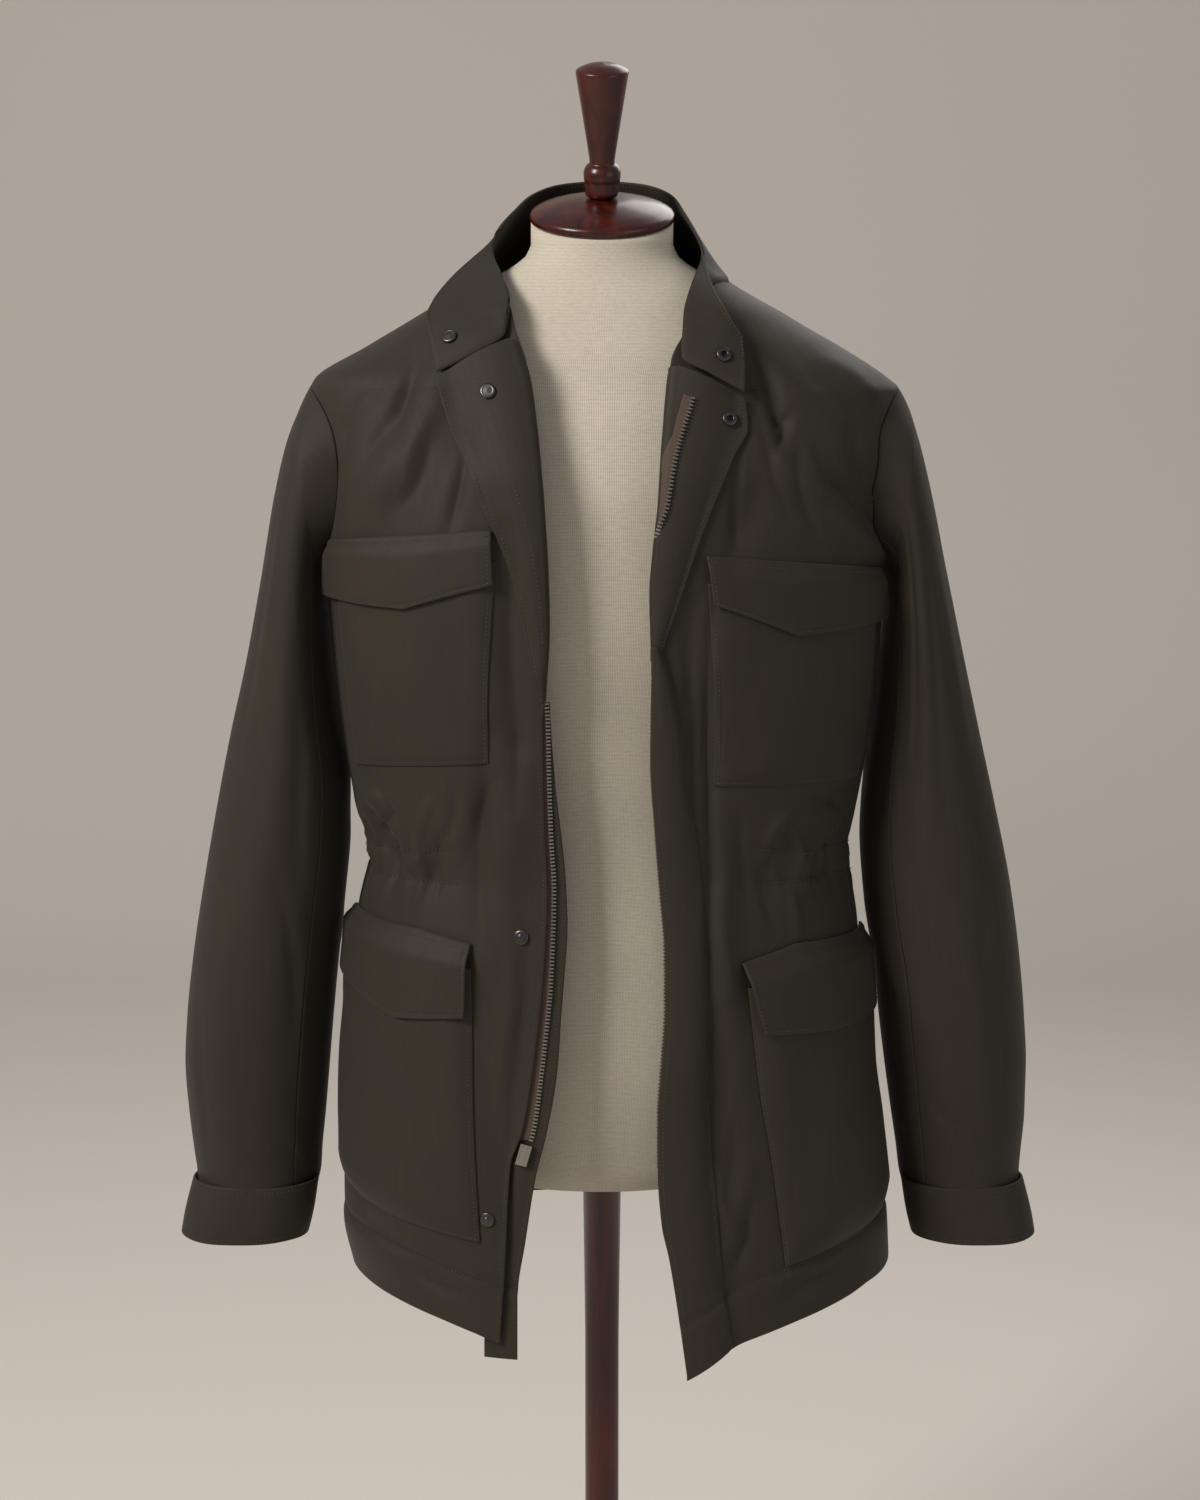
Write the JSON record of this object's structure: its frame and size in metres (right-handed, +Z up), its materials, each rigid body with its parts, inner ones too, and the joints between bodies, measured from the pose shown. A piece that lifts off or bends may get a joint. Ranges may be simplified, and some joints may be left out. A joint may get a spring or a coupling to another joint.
{
  "type": "field jacket on a dress form",
  "caption": "Open field jacket with stand collar, flap pockets, zip and drawn-in waist, worn by a limbless dress form on a pole and round base.",
  "frame": {"origin": "middle of the underside of the stand's round base, on the floor", "axes": "+Z up along the pole, the jacket's front faces -Y, the wearer's right side is on -X"},
  "size_m": [0.699, 0.38, 1.6131],
  "materials": {
    "twill": "dense olive-brown cotton twill, soft sheen",
    "zip_tape": "woven reddish-brown zip tape",
    "dark_nickel": "polished dark nickel",
    "linen": "natural linen over padding",
    "mahogany": "dark red-brown gloss lacquer"
  },
  "bodies": {
    "root": {"back": "twill", "front_right": "twill", "front_left": "twill", "lapel_right": "twill", "lapel_left": "twill", "collar": "twill", "top_sleeve_right": "twill", "under_sleeve_right": "twill", "top_sleeve_left": "twill", "under_sleeve_left": "twill", "cuff_right": "twill", "cuff_left": "twill", "chest_pocket_right": "twill", "chest_pocket_left": "twill", "lower_pocket_right": "twill", "lower_pocket_left": "twill", "chest_flap_right": "twill", "chest_flap_left": "twill", "lower_flap_right": "twill", "lower_flap_left": "twill", "placket": "twill", "zip_underlap": "twill", "zip_tape_right": "zip_tape", "zip_tape_left": "zip_tape", "zip_tape_lapel": "zip_tape", "zip_box": "dark_nickel", "snap_cap_collar": "dark_nickel", "snap_cap_lapel": "dark_nickel", "snap_socket_collar": "dark_nickel", "snap_socket_lapel": "dark_nickel", "snap_stud_waist": "dark_nickel", "snap_stud_hem": "dark_nickel", "form_torso": "linen", "form_neck_plate": "mahogany", "form_handle": "mahogany", "stand_pole": "mahogany", "stand_base": "mahogany"}
  },
  "joints": []
}
